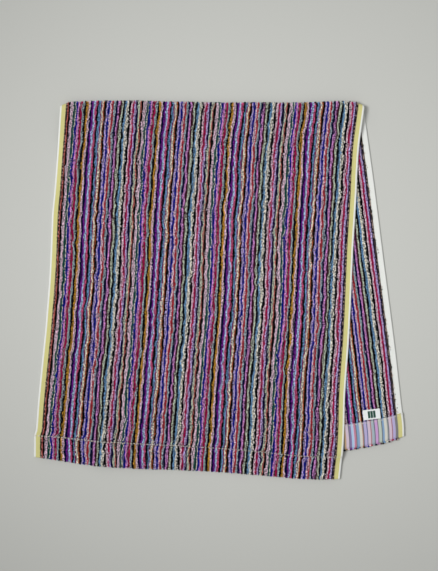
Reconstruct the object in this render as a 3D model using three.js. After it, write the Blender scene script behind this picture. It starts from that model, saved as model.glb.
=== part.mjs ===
// A face towel folded once across its length, with a small woven label.
// Millimetres, +Z up. +X runs across the stripes and +Y from the hems to the fold.
// The origin is under the middle of the towel, on the surface that it lies on.

import * as THREE from 'three';

// The cloth
const CLOTH_WIDTH = 340;
const PILE_THICK = 2.6;
const SELVEDGE_WIDTH = 6.6;
const SELVEDGE_THICK = 1.4;
const PILE_SHOULDER = 1.6;
const HEM_THICK = 1.3;
const STITCH_INSET = 1.7;
const STITCH_DIP = 0.7;
const STITCH_REACH = 2.3;

// How its plies lie on each other
const PLY_GAP = 0.4;
const EDGE_CLEAR = 2;
const EDGE_FALL = 12;
const FOLD_GAP = 4.6;
const FOLD_REACH = 46;
const HEM_TURN = (HEM_THICK + PLY_GAP + PILE_THICK) / 2;

// Corners of the two layers, seen from above: the front layer leans left and the under layer right
const FOLD = { left: -176.7, right: 161.7, y: 209.8 };
const FRONT = { left: { x: -206.5, y: -185.3 }, right: { x: 135, y: -210.1 } };
const UNDER = { left: { x: -128.3, y: -187.7 }, right: { x: 207, y: -162.3 } };

// The fold is rounded off at both selvedges
const FOLD_ENDS = { leftDrop: 2.6, leftReach: 8.6, rightDrop: 1.9, rightReach: 7.7 };

// How far the fold stands beyond its own line, across the width
const FOLD_BOW = [
  { across: 0, rise: 0.3 },
  { across: 0.05, rise: 1 },
  { across: 0.11, rise: 2 },
  { across: 0.18, rise: 2.1 },
  { across: 0.25, rise: 2.2 },
  { across: 0.31, rise: 1.6 },
  { across: 0.38, rise: 0.9 },
  { across: 0.44, rise: 0.9 },
  { across: 0.51, rise: 0.1 },
  { across: 0.64, rise: 0.3 },
  { across: 0.74, rise: -0.1 },
  { across: 0.8, rise: 0.2 },
  { across: 0.85, rise: 0.8 },
  { across: 0.9, rise: 1.5 },
  { across: 0.94, rise: 1.6 },
  { across: 0.97, rise: 0.8 },
  { across: 1, rise: 0.2 },
];

// The under layer's bottom edge curves down from its right corner
const UNDER_SAG_REACH = 72.5;

// How far the front layer's bottom edge hangs below a straight line, across the width
const FRONT_BOW = [
  { across: 0, drop: 0 },
  { across: 0.09, drop: 2.2 },
  { across: 0.18, drop: 4.7 },
  { across: 0.27, drop: 4.8 },
  { across: 0.37, drop: 4.2 },
  { across: 0.46, drop: 2.9 },
  { across: 0.55, drop: 2.2 },
  { across: 0.64, drop: 1.8 },
  { across: 0.75, drop: 2.2 },
  { across: 0.84, drop: 2.9 },
  { across: 0.93, drop: 1.9 },
  { across: 1, drop: 0 },
];

// How deep each hem is turned, across the width
const HEM_DEPTHS = [
  { across: 0, front: 23.8, under: 26.5 },
  { across: 0.1, front: 26.3, under: 26.5 },
  { across: 0.3, front: 28, under: 26.5 },
  { across: 0.5, front: 27.1, under: 26.5 },
  { across: 0.8, front: 26, under: 26.5 },
  { across: 1, front: 24.8, under: 24.6 },
];

// How far the selvedges stand to the right of a straight line, from hem to fold
const FRONT_SIDES = [
  { up: 0, left: 0, right: 0 },
  { up: 0.03, left: -0.8, right: 0.5 },
  { up: 0.05, left: -1.4, right: 0.8 },
  { up: 0.06, left: -1.5, right: 1 },
  { up: 0.07, left: -0.4, right: 1.1 },
  { up: 0.1, left: -0.4, right: 1.3 },
  { up: 0.15, left: -0.5, right: 0.8 },
  { up: 0.22, left: 0, right: -0.3 },
  { up: 0.29, left: 0.7, right: -0.3 },
  { up: 0.36, left: 1.4, right: 0 },
  { up: 0.42, left: 1.5, right: -0.2 },
  { up: 0.49, left: 1.6, right: -0.7 },
  { up: 0.56, left: 1.1, right: -1.4 },
  { up: 0.63, left: 0.1, right: -1.9 },
  { up: 0.7, left: -0.8, right: -2 },
  { up: 0.77, left: -0.3, right: -2.1 },
  { up: 0.83, left: -0.3, right: -2.7 },
  { up: 0.9, left: -0.2, right: -2.5 },
  { up: 1, left: 0, right: 0 },
];
const UNDER_SIDES = [
  { up: 0, left: 0, right: 0 },
  { up: 0.03, left: 0, right: 1.1 },
  { up: 0.09, left: 0, right: 1.3 },
  { up: 0.16, left: 0, right: 1.6 },
  { up: 0.24, left: 0, right: 2 },
  { up: 0.38, left: 0, right: 1.9 },
  { up: 0.53, left: 0, right: 1.5 },
  { up: 0.7, left: 0, right: 1.4 },
  { up: 0.82, left: 0, right: 1.1 },
  { up: 1, left: 0, right: 0 },
];

// Soft swells where the front layer stands off the one below
const SWELLS = [
  { x: -70, y: 90, reach: 60, height: 1 },
  { x: 75, y: 40, reach: 70, height: 0.8 },
  { x: -20, y: -60, reach: 65, height: 0.9 },
  { x: 95, y: -130, reach: 45, height: 0.7 },
];

// Sections in each hem, the same in its two plies, and then those between the hem and the fold
const FRONT_HEM_SECTIONS = 7;
const UNDER_HEM_SECTIONS = 4;
const FRONT_STEPS = [
  { upTo: 0.12, count: 8 },
  { upTo: 0.85, count: 17 },
  { upTo: 1, count: 8 },
];
const UNDER_STEPS = [{ upTo: 1, count: 12 }];
const HEM_TURN_SECTIONS = 5;
const FOLD_SECTIONS = 7;
const PILE_COLUMNS = 22;

// The label, seen from above, lies on the pile with a small gap under it
const LABEL = { width: 19.4, depth: 11.3, thick: 0.6, turn: 6.7, x: 170.4, y: -136.4, seatGap: 0.3 };

const { lerp, clamp, degToRad, smoothstep } = THREE.MathUtils;

// The value of one column of a table, eased through its rows
function readTable(table, key, column, at) {
  const last = table.length - 1;
  const next = clamp(table.findIndex((row) => row[key] >= at), 1, last);
  const from = table[next - 1];
  const to = table[next];
  const slopeAt = (index) => {
    const before = table[Math.max(index - 1, 0)];
    const after = table[Math.min(index + 1, last)];
    return (after[column] - before[column]) / (after[key] - before[key]);
  };
  const span = to[key] - from[key];
  const s = clamp((at - from[key]) / span, 0, 1);
  const fromPart = (1 + 2 * s) * (1 - s) ** 2 * from[column] + s * (1 - s) ** 2 * span * slopeAt(next - 1);
  const toPart = s * s * (3 - 2 * s) * to[column] - s * s * (1 - s) * span * slopeAt(next);
  return fromPart + toPart;
}

// Plan of the cloth: across is 0 at the left selvedge and 1 at the right one

function foldCentre(across) {
  const fromLeft = across * CLOTH_WIDTH;
  const fromRight = CLOTH_WIDTH - fromLeft;
  const x = lerp(FOLD.left, FOLD.right, across);
  const leftRound = FOLD_ENDS.leftDrop * Math.max(0, 1 - fromLeft / FOLD_ENDS.leftReach) ** 2;
  const rightRound = FOLD_ENDS.rightDrop * Math.max(0, 1 - fromRight / FOLD_ENDS.rightReach) ** 2;
  const rise = readTable(FOLD_BOW, 'across', 'rise', across);
  const y = FOLD.y - FOLD_GAP / 2 - PILE_THICK - leftRound - rightRound + rise;
  return new THREE.Vector2(x, y);
}

function frontEdge(across) {
  const x = lerp(FRONT.left.x, FRONT.right.x, across);
  const y = lerp(FRONT.left.y, FRONT.right.y, across) - readTable(FRONT_BOW, 'across', 'drop', across);
  return new THREE.Vector2(x, y);
}

function underEdge(across) {
  const x = lerp(UNDER.left.x, UNDER.right.x, across);
  const width = UNDER.right.x - UNDER.left.x;
  const sag = UNDER.right.y - UNDER.left.y;
  const y = UNDER.right.y - sag * (1 - Math.exp(-((1 - across) * width) / UNDER_SAG_REACH));
  return new THREE.Vector2(x, y);
}

// A layer's threads run from the centre of its hem's turn to the centre of the fold
function makeThread(edge, sides, across) {
  const head = foldCentre(across);
  const outward = edge.clone().sub(head).normalize();
  const foot = edge.clone().addScaledVector(outward, -HEM_TURN);
  const length = foot.distanceTo(head);
  const at = (up) => {
    const share = up / length;
    const left = readTable(sides, 'up', 'left', share);
    const right = readTable(sides, 'up', 'right', share);
    const point = foot.clone().addScaledVector(outward, -up);
    point.x += lerp(left, right, across);
    return point;
  };
  return { outward, length, at };
}

// Heights

function pileThickness(across) {
  const fromEdge = Math.min(across, 1 - across) * CLOTH_WIDTH;
  return lerp(SELVEDGE_THICK, PILE_THICK, clamp((fromEdge - SELVEDGE_WIDTH) / PILE_SHOULDER, 0, 1));
}

// 1 on top of an edge and a little past it, easing to 0 where the cloth has come down again
function cover(inside) {
  return smoothstep(inside + EDGE_CLEAR + EDGE_FALL, 0, EDGE_FALL);
}

function insideUnderSide(point) {
  const top = foldCentre(0);
  const bottom = underEdge(0);
  const along = bottom.clone().sub(top).normalize();
  return (point.y - top.y) * along.x - (point.x - top.x) * along.y;
}

function underAcross(point) {
  return clamp((point.x - UNDER.left.x) / (UNDER.right.x - UNDER.left.x), 0, 1);
}

const frontHemDepth = (across) => readTable(HEM_DEPTHS, 'across', 'front', across);
const underHemDepth = (across) => readTable(HEM_DEPTHS, 'across', 'under', across);

// Height of the plies under the front layer, with the gap above each
function support(point) {
  const across = underAcross(point);
  const fromEdge = point.y - underEdge(across).y;
  const onCloth = cover(insideUnderSide(point)) * cover(fromEdge);
  const onFlap = onCloth * cover(underHemDepth(across) - fromEdge);
  return (PILE_THICK + PLY_GAP) * onCloth + (HEM_THICK + PLY_GAP) * onFlap;
}

function swell(point) {
  const near = cover(insideUnderSide(point) - EDGE_FALL);
  const heights = SWELLS.map((row) => {
    const distance = Math.hypot(point.x - row.x, point.y - row.y) / row.reach;
    return row.height * Math.exp(-distance * distance);
  });
  return near * heights.reduce((sum, height) => sum + height, 0);
}

function frontReverse(point, up, across, length) {
  const hemDepth = frontHemDepth(across);
  const flapLift = (HEM_THICK + PLY_GAP) * cover(hemDepth - up);
  const foldLift = (FOLD_GAP - PLY_GAP) * smoothstep(up, length - FOLD_REACH, length);
  const swellShare = smoothstep(up, hemDepth, 2 * hemDepth) * smoothstep(length - up, 0, FOLD_REACH);
  return support(point) + flapLift + foldLift + swell(point) * swellShare;
}

function frontThickness(across, up) {
  const fromStitch = (up + STITCH_INSET - frontHemDepth(across)) / STITCH_REACH;
  return pileThickness(across) - STITCH_DIP * Math.exp(-fromStitch * fromStitch);
}

// Sections of the cloth: each is a pair of points, one on the face and one on the reverse

// Shares of a length, evenly spaced from just above 0 to 1
const shares = (count) => [...Array(count).keys()].map((index) => (index + 1) / count);
const turnShares = (count) => shares(count + 1).slice(0, -1);

// Lengths up a layer, in the hem and on to the fold
function layerLengths(hemDepth, hemSections, steps, length) {
  const lengths = [0, ...shares(hemSections).map((share) => share * hemDepth)];
  for (const { upTo, count } of steps) {
    const start = lengths.at(-1);
    const end = lerp(hemDepth, length, upTo);
    lengths.push(...shares(count).map((share) => lerp(start, end, share)));
  }
  return lengths;
}

function pair(point, face, reverse) {
  return {
    face: new THREE.Vector3(point.x, point.y, face),
    reverse: new THREE.Vector3(point.x, point.y, reverse),
  };
}

// Half a turn between two plies that lie over each other
function turnPair(share, centre, outward, innerReach, outerReach, lower, upper) {
  const reach = Math.sin(Math.PI * share);
  const lift = (1 - Math.cos(Math.PI * share)) / 2;
  const inner = centre.clone().addScaledVector(outward, innerReach * reach);
  const outer = centre.clone().addScaledVector(outward, outerReach * reach);
  return {
    face: new THREE.Vector3(outer.x, outer.y, lerp(lower.face, upper.face, lift)),
    reverse: new THREE.Vector3(inner.x, inner.y, lerp(lower.reverse, upper.reverse, lift)),
  };
}

function frontFlapSections(across, thread) {
  return shares(FRONT_HEM_SECTIONS).toReversed().map((share) => {
    const point = thread.at(share * frontHemDepth(across));
    const face = support(point);
    return pair(point, face, face + HEM_THICK);
  });
}

function frontLayerSections(across, thread) {
  const lengths = layerLengths(frontHemDepth(across), FRONT_HEM_SECTIONS, FRONT_STEPS, thread.length);
  return lengths.map((up) => {
    const point = thread.at(up);
    const reverse = frontReverse(point, up, across, thread.length);
    return pair(point, reverse + frontThickness(across, up), reverse);
  });
}

function underLayerSections(across, thread) {
  const lengths = layerLengths(underHemDepth(across), UNDER_HEM_SECTIONS, UNDER_STEPS, thread.length);
  return lengths.toReversed().map((up) => pair(thread.at(up), 0, pileThickness(across)));
}

function underFlapSections(across, thread) {
  return shares(UNDER_HEM_SECTIONS).map((share) => {
    const reverse = pileThickness(across) + PLY_GAP;
    return pair(thread.at(share * underHemDepth(across)), reverse + HEM_THICK, reverse);
  });
}

// All sections down one column of threads, from the front hem's free edge to the under hem's
function columnSections(across) {
  const front = makeThread(frontEdge(across), FRONT_SIDES, across);
  const under = makeThread(underEdge(across), UNDER_SIDES, across);
  const thick = pileThickness(across);

  const frontFlap = frontFlapSections(across, front);
  const frontLayer = frontLayerSections(across, front);
  const underLayer = underLayerSections(across, under);
  const underFlap = underFlapSections(across, under);

  const frontFoot = front.at(0);
  const frontFace = support(frontFoot);
  const frontLower = { face: frontFace, reverse: frontFace + HEM_THICK };
  const frontUpper = { face: frontLayer[0].face.z, reverse: frontLayer[0].reverse.z };
  const frontTurn = turnShares(HEM_TURN_SECTIONS).map((share) => (
    turnPair(share, frontFoot, front.outward, PLY_GAP / 2, HEM_TURN, frontLower, frontUpper)
  ));

  const foldUpper = { face: frontLayer.at(-1).face.z, reverse: frontLayer.at(-1).reverse.z };
  const foldLower = { face: 0, reverse: thick };
  const towardsFold = new THREE.Vector2(0, 1);
  const foldReach = FOLD_GAP / 2;
  const fold = turnShares(FOLD_SECTIONS).toReversed().map((share) => (
    turnPair(share, foldCentre(across), towardsFold, foldReach, foldReach + thick, foldLower, foldUpper)
  ));

  const underLower = { face: 0, reverse: thick };
  const underUpper = { face: thick + PLY_GAP + HEM_THICK, reverse: thick + PLY_GAP };
  const underTurn = turnShares(HEM_TURN_SECTIONS).map((share) => (
    turnPair(share, under.at(0), under.outward, PLY_GAP / 2, HEM_TURN, underLower, underUpper)
  ));

  return [
    ...frontFlap,
    pair(frontFoot, frontLower.face, frontLower.reverse),
    ...frontTurn,
    ...frontLayer,
    ...fold,
    ...underLayer,
    ...underTurn,
    pair(under.at(0), underUpper.face, underUpper.reverse),
    ...underFlap,
  ];
}

// Threads stand at the selvedges' edges, and evenly over the pile between them
function columnPlaces() {
  const pileStart = SELVEDGE_WIDTH + PILE_SHOULDER;
  const pileWidth = CLOTH_WIDTH - 2 * pileStart;
  const pile = [...Array(PILE_COLUMNS + 1).keys()].map((index) => (
    pileStart + (pileWidth * index) / PILE_COLUMNS
  ));
  const places = [0, SELVEDGE_WIDTH, ...pile, CLOTH_WIDTH - SELVEDGE_WIDTH, CLOTH_WIDTH];
  return places.map((place) => place / CLOTH_WIDTH);
}

// One closed skin over the face, the reverse and the four edges of the cloth
function makeTowelGeometry() {
  const columns = columnPlaces().map(columnSections);
  const rowCount = columns[0].length;
  const columnCount = columns.length;
  const positions = [];
  for (const side of ['face', 'reverse']) {
    for (const column of columns) {
      column.forEach((section) => positions.push(...section[side].toArray()));
    }
  }
  const face = (column, row) => column * rowCount + row;
  const reverse = (column, row) => (columnCount + column) * rowCount + row;

  const indices = [];
  const quad = (a, b, c, d) => indices.push(a, b, c, a, c, d);
  // A turned-in hem is split along the same diagonals as the ply that it lies on
  const isTurnedIn = (row) => row < FRONT_HEM_SECTIONS || row >= rowCount - 1 - UNDER_HEM_SECTIONS;
  for (let column = 0; column < columnCount - 1; column += 1) {
    for (let row = 0; row < rowCount - 1; row += 1) {
      const [next, below] = [column + 1, row + 1];
      if (isTurnedIn(row)) {
        quad(face(next, row), face(next, below), face(column, below), face(column, row));
        quad(reverse(column, below), reverse(next, below), reverse(next, row), reverse(column, row));
      } else {
        quad(face(column, row), face(next, row), face(next, below), face(column, below));
        quad(reverse(column, row), reverse(column, below), reverse(next, below), reverse(next, row));
      }
    }
    const end = rowCount - 1;
    quad(reverse(column, 0), reverse(column + 1, 0), face(column + 1, 0), face(column, 0));
    quad(face(column, end), face(column + 1, end), reverse(column + 1, end), reverse(column, end));
  }
  const last = columnCount - 1;
  for (let row = 0; row < rowCount - 1; row += 1) {
    quad(face(0, row), face(0, row + 1), reverse(0, row + 1), reverse(0, row));
    quad(face(last, row + 1), face(last, row), reverse(last, row), reverse(last, row + 1));
  }

  const geometry = new THREE.BufferGeometry();
  geometry.setAttribute('position', new THREE.Float32BufferAttribute(positions, 3));
  geometry.setIndex(indices);
  geometry.computeVertexNormals();
  return geometry;
}

function makeTowel() {
  const material = new THREE.MeshStandardMaterial({ color: '#b08aa6', roughness: 0.95, metalness: 0 });
  const towel = new THREE.Mesh(makeTowelGeometry(), material);
  towel.name = 'towel';
  return towel;
}

// The label lies on the under layer's pile, its lower edge against the free edge of the hem
function makeLabel() {
  const geometry = new THREE.BoxGeometry(LABEL.width, LABEL.depth, LABEL.thick);
  const material = new THREE.MeshStandardMaterial({ color: '#e9e8e2', roughness: 0.7, metalness: 0 });
  const label = new THREE.Mesh(geometry, material);
  label.name = 'label';
  label.rotation.z = degToRad(LABEL.turn);
  label.position.set(LABEL.x, LABEL.y, PILE_THICK + LABEL.seatGap + LABEL.thick / 2);
  return label;
}

const group = new THREE.Group();
group.add(makeTowel(), makeLabel());

const box = new THREE.Box3().setFromObject(group);
const middle = box.getCenter(new THREE.Vector3());
group.position.set(-middle.x, -middle.y, -box.min.z);

export default group;
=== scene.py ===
"""A striped terry face towel, folded once, with its hem stitches and label, on a pale floor."""

import math

import bpy
import numpy as np
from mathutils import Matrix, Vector


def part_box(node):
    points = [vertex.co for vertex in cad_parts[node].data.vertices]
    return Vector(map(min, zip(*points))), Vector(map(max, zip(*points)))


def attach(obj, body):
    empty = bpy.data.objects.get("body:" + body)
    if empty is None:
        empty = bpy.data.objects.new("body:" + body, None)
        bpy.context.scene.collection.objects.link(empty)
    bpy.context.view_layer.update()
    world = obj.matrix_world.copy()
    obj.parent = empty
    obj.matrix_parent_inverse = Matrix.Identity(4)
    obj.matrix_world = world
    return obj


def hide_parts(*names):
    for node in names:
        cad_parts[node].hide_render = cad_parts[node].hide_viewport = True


bl_info = {
    "name": "Folded Face Towel",
    "version": (1, 0, 0),
    "blender": (4, 5, 0),
    "location": "View3D > Sidebar > Towel",
    "description": "Makes a striped terry face towel, folded once across its length",
    "category": "Add Mesh",
}

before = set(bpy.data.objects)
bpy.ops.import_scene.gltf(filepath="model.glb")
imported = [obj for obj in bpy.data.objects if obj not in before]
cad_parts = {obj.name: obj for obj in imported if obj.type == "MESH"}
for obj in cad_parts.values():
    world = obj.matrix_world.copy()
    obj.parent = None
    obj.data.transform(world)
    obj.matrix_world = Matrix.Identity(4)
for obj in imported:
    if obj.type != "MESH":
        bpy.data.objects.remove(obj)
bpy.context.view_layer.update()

MM = 0.001

# The cloth, as the solid has it, in millimetres
CLOTH_WIDTH = 340.0
PILE_THICK = 2.6
SELVEDGE_WIDTH = 6.6
SELVEDGE_THICK = 1.4
PILE_SHOULDER = 1.6
HEM_THICK = 1.3
STITCH_INSET = 1.7
STITCH_DIP = 0.7
STITCH_REACH = 2.3
PLY_GAP = 0.4
EDGE_CLEAR = 2.0
EDGE_FALL = 12.0
FOLD_GAP = 4.6
FOLD_REACH = 46.0
HEM_TURN = (HEM_THICK + PLY_GAP + PILE_THICK) / 2

# Its plan, seen from above
FOLD = {"left": -176.7, "right": 161.7, "y": 209.8}
FRONT = {"left": (-206.5, -185.3), "right": (135.0, -210.1)}
UNDER = {"left": (-128.3, -187.7), "right": (207.0, -162.3)}
FOLD_ENDS = {"left_drop": 2.6, "left_reach": 8.6, "right_drop": 1.9, "right_reach": 7.7}
FOLD_BOW = {
    "across": (0, 0.05, 0.11, 0.18, 0.25, 0.31, 0.38, 0.44, 0.51, 0.64, 0.74, 0.8, 0.85, 0.9, 0.94, 0.97, 1),
    "rise": (0.3, 1, 2, 2.1, 2.2, 1.6, 0.9, 0.9, 0.1, 0.3, -0.1, 0.2, 0.8, 1.5, 1.6, 0.8, 0.2),
}
UNDER_SAG_REACH = 72.5
FRONT_BOW = {
    "across": (0, 0.09, 0.18, 0.27, 0.37, 0.46, 0.55, 0.64, 0.75, 0.84, 0.93, 1),
    "drop": (0, 2.2, 4.7, 4.8, 4.2, 2.9, 2.2, 1.8, 2.2, 2.9, 1.9, 0),
}
HEM_DEPTHS = {
    "across": (0, 0.1, 0.3, 0.5, 0.8, 1),
    "front": (23.8, 26.3, 28, 27.1, 26, 24.8),
    "under": (26.5, 26.5, 26.5, 26.5, 26.5, 24.6),
}
FRONT_SIDES = {
    "up": (
        0, 0.03, 0.05, 0.06, 0.07, 0.1, 0.15, 0.22, 0.29, 0.36,
        0.42, 0.49, 0.56, 0.63, 0.7, 0.77, 0.83, 0.9, 1,
    ),
    "left": (
        0, -0.8, -1.4, -1.5, -0.4, -0.4, -0.5, 0, 0.7, 1.4,
        1.5, 1.6, 1.1, 0.1, -0.8, -0.3, -0.3, -0.2, 0,
    ),
    "right": (
        0, 0.5, 0.8, 1, 1.1, 1.3, 0.8, -0.3, -0.3, 0,
        -0.2, -0.7, -1.4, -1.9, -2, -2.1, -2.7, -2.5, 0,
    ),
}
UNDER_SIDES = {
    "up": (0, 0.03, 0.09, 0.16, 0.24, 0.38, 0.53, 0.7, 0.82, 1),
    "left": (0, 0, 0, 0, 0, 0, 0, 0, 0, 0),
    "right": (0, 1.1, 1.3, 1.6, 2, 1.9, 1.5, 1.4, 1.1, 0),
}
SWELLS = (
    {"x": -70, "y": 90, "reach": 60, "height": 1},
    {"x": 75, "y": 40, "reach": 70, "height": 0.8},
    {"x": -20, "y": -60, "reach": 65, "height": 0.9},
    {"x": 95, "y": -130, "reach": 45, "height": 0.7},
)

# The label's flat size
LABEL_WIDTH = 19.4
LABEL_DEPTH = 11.3

# The runs of the cloth from one hem's free edge to the other, with their lengths before folding
HEM_LENGTH = 28.0
TURN_LENGTH = 4.0
RUNS = (
    ("front flap", HEM_LENGTH),
    ("front turn", TURN_LENGTH),
    ("front layer", 396.0),
    ("fold", 12.0),
    ("under layer", 372.0),
    ("under turn", TURN_LENGTH),
    ("under flap", HEM_LENGTH),
)
CLOTH_LENGTH = sum(length for _, length in RUNS)

# The warp: how many pile ends the selvedges leave room for, and the stripes, as yarns and ends
PILE_ENDS = 317
STRIPES = (
    ("sage", 2), ("coral", 1), ("black", 2), ("mauve", 3), ("green", 2), ("cream", 1), ("cobalt", 2),
    ("orchid", 2), ("umber", 1), ("crimson", 2), ("slate", 2), ("black", 2), ("ochre", 2), ("mauve", 2),
    ("navy", 2), ("purple", 2), ("ice", 2), ("rose", 2), ("black", 2), ("sky", 2), ("plum", 1),
    ("cream", 2), ("orange", 1), ("black", 2), ("lilac", 2), ("cobalt", 2), ("mauve", 2), ("red", 2),
    ("slate", 2), ("navy", 2), ("orchid", 2), ("maroon", 2), ("sage", 2), ("black", 2), ("sky", 2),
    ("cream", 2), ("pepper", 1), ("black", 2), ("mauve", 2), ("crimson", 2), ("lilac", 2), ("navy", 2),
)
# The ends next to each selvedge are of the umber marl
SIDE_ENDS = 2
REPEAT_ENDS = sum(ends for _, ends in STRIPES)
END_PITCH = (CLOTH_WIDTH - 2 * SELVEDGE_WIDTH) / PILE_ENDS

YARNS = {
    "black": "#060409",
    "navy": "#090740",
    "cobalt": "#141E98",
    "sky": "#7CAAD6",
    "ice": "#BEDCFA",
    "purple": "#82279F",
    "lilac": "#D0BCEC",
    "orchid": "#E8A4E6",
    "mauve": "#F0D4E4",
    "crimson": "#B81758",
    "plum": "#961764",
    "rose": "#E0608F",
    "coral": "#E0766D",
    "red": "#C03540",
    "orange": "#CC6A3A",
    "ochre": "#D4A03A",
    "cream": "#F2ECDC",
    "sage": "#D6DFCB",
    "slate": "#B2C4CD",
    "green": "#1A5850",
    "maroon": "#48152C",
    "pepper": "#EBE5E0",
    "umber": "#AE958B",
    "dark": "#0C080B",
}

# Yarns spun of pale and dark strands, whose loops show either the one or the other
MARLS = ("pepper", "umber")
# Yarns whose loops stand a little fuller than their neighbours
FULL_YARNS = ("black", "navy", "green", "maroon", "cobalt")
FULL_RISE = 0.3


def linear(code):
    """An sRGB hex colour as linear red, green and blue."""
    values = (int(code[i : i + 2], 16) / 255 for i in (1, 3, 5))
    return [v / 12.92 if v <= 0.04045 else ((v + 0.055) / 1.055) ** 2.4 for v in values]


# Settings


def length_property(name, description, default):
    return bpy.props.FloatProperty(
        name=name, description=description, default=default, min=0.0, precision=5,
        subtype="DISTANCE", unit="LENGTH",
    )


def colour_property(name, description, code):
    return bpy.props.FloatVectorProperty(
        name=name, description=description, default=linear(code), min=0.0, max=1.0, size=3,
        subtype="COLOR",
    )


class TowelYarns(bpy.types.PropertyGroup):
    """The colours of the dyed pile yarns."""

    __annotations__ = {
        yarn: colour_property(yarn.capitalize(), f"Colour of the {yarn} yarn", code)
        for yarn, code in YARNS.items()
    }


class TowelSettings(bpy.types.PropertyGroup):
    """Sizes and colours of the towel and of its stage."""

    loop_pitch: length_property(
        "Loop pitch", "From one pile loop to the next along an end", 2.0 * MM
    )
    loop_length: length_property("Loop length", "Length of a pile loop as it lies", 2.5 * MM)
    loop_width: length_property("Loop width", "Width of a pile loop", 1.3 * MM)
    loop_height: length_property("Loop height", "Height of a pile loop", 1.6 * MM)
    sway: length_property("Sway", "How far a whole band of stripes wanders sideways", 0.9 * MM)
    wander: length_property("Wander", "How far one end wanders among its neighbours", 0.85 * MM)
    stitch_length: length_property("Stitch length", "Length of one hem stitch", 3.6 * MM)
    thread_width: length_property("Thread width", "Thickness of the sewing thread", 0.9 * MM)
    label_width: length_property("Label width", "Width of the label", LABEL_WIDTH * MM)
    label_depth: length_property("Label depth", "Depth of the label", LABEL_DEPTH * MM)
    selvedge_yellow: colour_property(
        "Selvedge yellow", "Pale yellow band of the face's selvedges", "#DAD48F"
    )
    selvedge_white: colour_property(
        "Selvedge white", "White edge, and the reverse of the selvedges", "#F1F3EE"
    )
    thread_cream: colour_property("Thread cream", "Sewing thread", "#E4DECF")
    weft_white: colour_property(
        "Weft white", "White ground weft that pales the flat hems", "#CBD6DD"
    )
    label_white: colour_property("Label white", "Ground of the label", "#E9ECEC")
    label_green: colour_property("Label green", "Woven bars on the label", "#1D4A3D")
    floor_grey: colour_property("Floor grey", "The pale floor", "#C3C4BF")


# Plan and heights of the cloth, in millimetres


def ease(value, low, high):
    share = np.clip((value - low) / (high - low), 0, 1)
    return share * share * (3 - 2 * share)


def blend(low, high, share):
    return low + (high - low) * share


def read_table(table, key, column, at):
    """The value of one column of a table, eased through its rows."""
    keys, values = np.asarray(table[key], float), np.asarray(table[column], float)
    rows = np.arange(len(keys))
    before = np.maximum(rows - 1, 0)
    after = np.minimum(rows + 1, len(keys) - 1)
    slopes = (values[after] - values[before]) / (keys[after] - keys[before])
    at = np.asarray(at, float)
    to = np.clip(np.searchsorted(keys, at), 1, len(keys) - 1)
    span = keys[to] - keys[to - 1]
    s = np.clip((at - keys[to - 1]) / span, 0, 1)
    start = (1 + 2 * s) * (1 - s) ** 2 * values[to - 1] + s * (1 - s) ** 2 * span * slopes[to - 1]
    return start + s * s * (3 - 2 * s) * values[to] - s * s * (1 - s) * span * slopes[to]


def fold_centre(across):
    from_left = across * CLOTH_WIDTH
    from_right = CLOTH_WIDTH - from_left
    x = blend(FOLD["left"], FOLD["right"], across)
    left = FOLD_ENDS["left_drop"] * np.maximum(0, 1 - from_left / FOLD_ENDS["left_reach"]) ** 2
    right = FOLD_ENDS["right_drop"] * np.maximum(0, 1 - from_right / FOLD_ENDS["right_reach"]) ** 2
    rise = read_table(FOLD_BOW, "across", "rise", across)
    y = FOLD["y"] - FOLD_GAP / 2 - PILE_THICK - left - right + rise
    return np.stack([x, y], -1)


def front_edge(across):
    x = blend(FRONT["left"][0], FRONT["right"][0], across)
    y = blend(FRONT["left"][1], FRONT["right"][1], across) - read_table(FRONT_BOW, "across", "drop", across)
    return np.stack([x, y], -1)


def under_edge(across):
    x = blend(UNDER["left"][0], UNDER["right"][0], across)
    width = UNDER["right"][0] - UNDER["left"][0]
    sag = UNDER["right"][1] - UNDER["left"][1]
    y = UNDER["right"][1] - sag * (1 - np.exp(-(1 - across) * width / UNDER_SAG_REACH))
    return np.stack([x, y], -1)


class Threads:
    """The threads of one layer, which run from the centre of its hem's turn to the centre of the fold."""

    def __init__(self, edge, sides, across):
        self.across, self.sides = across, sides
        head = fold_centre(across)
        away = edge - head
        self.outward = away / np.linalg.norm(away, axis=-1, keepdims=True)
        self.foot = edge - self.outward * HEM_TURN
        self.length = np.linalg.norm(self.foot - head, axis=-1)

    def at(self, up):
        """Plan points at these lengths up from the foot, a row of them for each thread."""
        share = up / self.length[:, None]
        left = read_table(self.sides, "up", "left", share)
        right = read_table(self.sides, "up", "right", share)
        points = self.foot[:, None] - self.outward[:, None] * up[..., None]
        points[..., 0] += blend(left, right, self.across[:, None])
        return points


def pile_thickness(across):
    from_edge = np.minimum(across, 1 - across) * CLOTH_WIDTH
    return blend(SELVEDGE_THICK, PILE_THICK, np.clip((from_edge - SELVEDGE_WIDTH) / PILE_SHOULDER, 0, 1))


def cover(inside):
    """1 on top of an edge and a little past it, easing to 0 where the cloth has come down again."""
    return ease(inside + EDGE_CLEAR + EDGE_FALL, 0, EDGE_FALL)


def inside_under_side(points):
    top, bottom = fold_centre(0.0), under_edge(0.0)
    along = (bottom - top) / np.linalg.norm(bottom - top)
    return (points[..., 1] - top[1]) * along[0] - (points[..., 0] - top[0]) * along[1]


def under_across(points):
    return np.clip((points[..., 0] - UNDER["left"][0]) / (UNDER["right"][0] - UNDER["left"][0]), 0, 1)


def hem_depth(layer, across):
    return read_table(HEM_DEPTHS, "across", layer, across)


def support(points):
    """Height of the plies under the front layer, with the gap above each."""
    across = under_across(points)
    from_edge = points[..., 1] - under_edge(across)[..., 1]
    on_cloth = cover(inside_under_side(points)) * cover(from_edge)
    on_flap = on_cloth * cover(hem_depth("under", across) - from_edge)
    return (PILE_THICK + PLY_GAP) * on_cloth + (HEM_THICK + PLY_GAP) * on_flap


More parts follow.
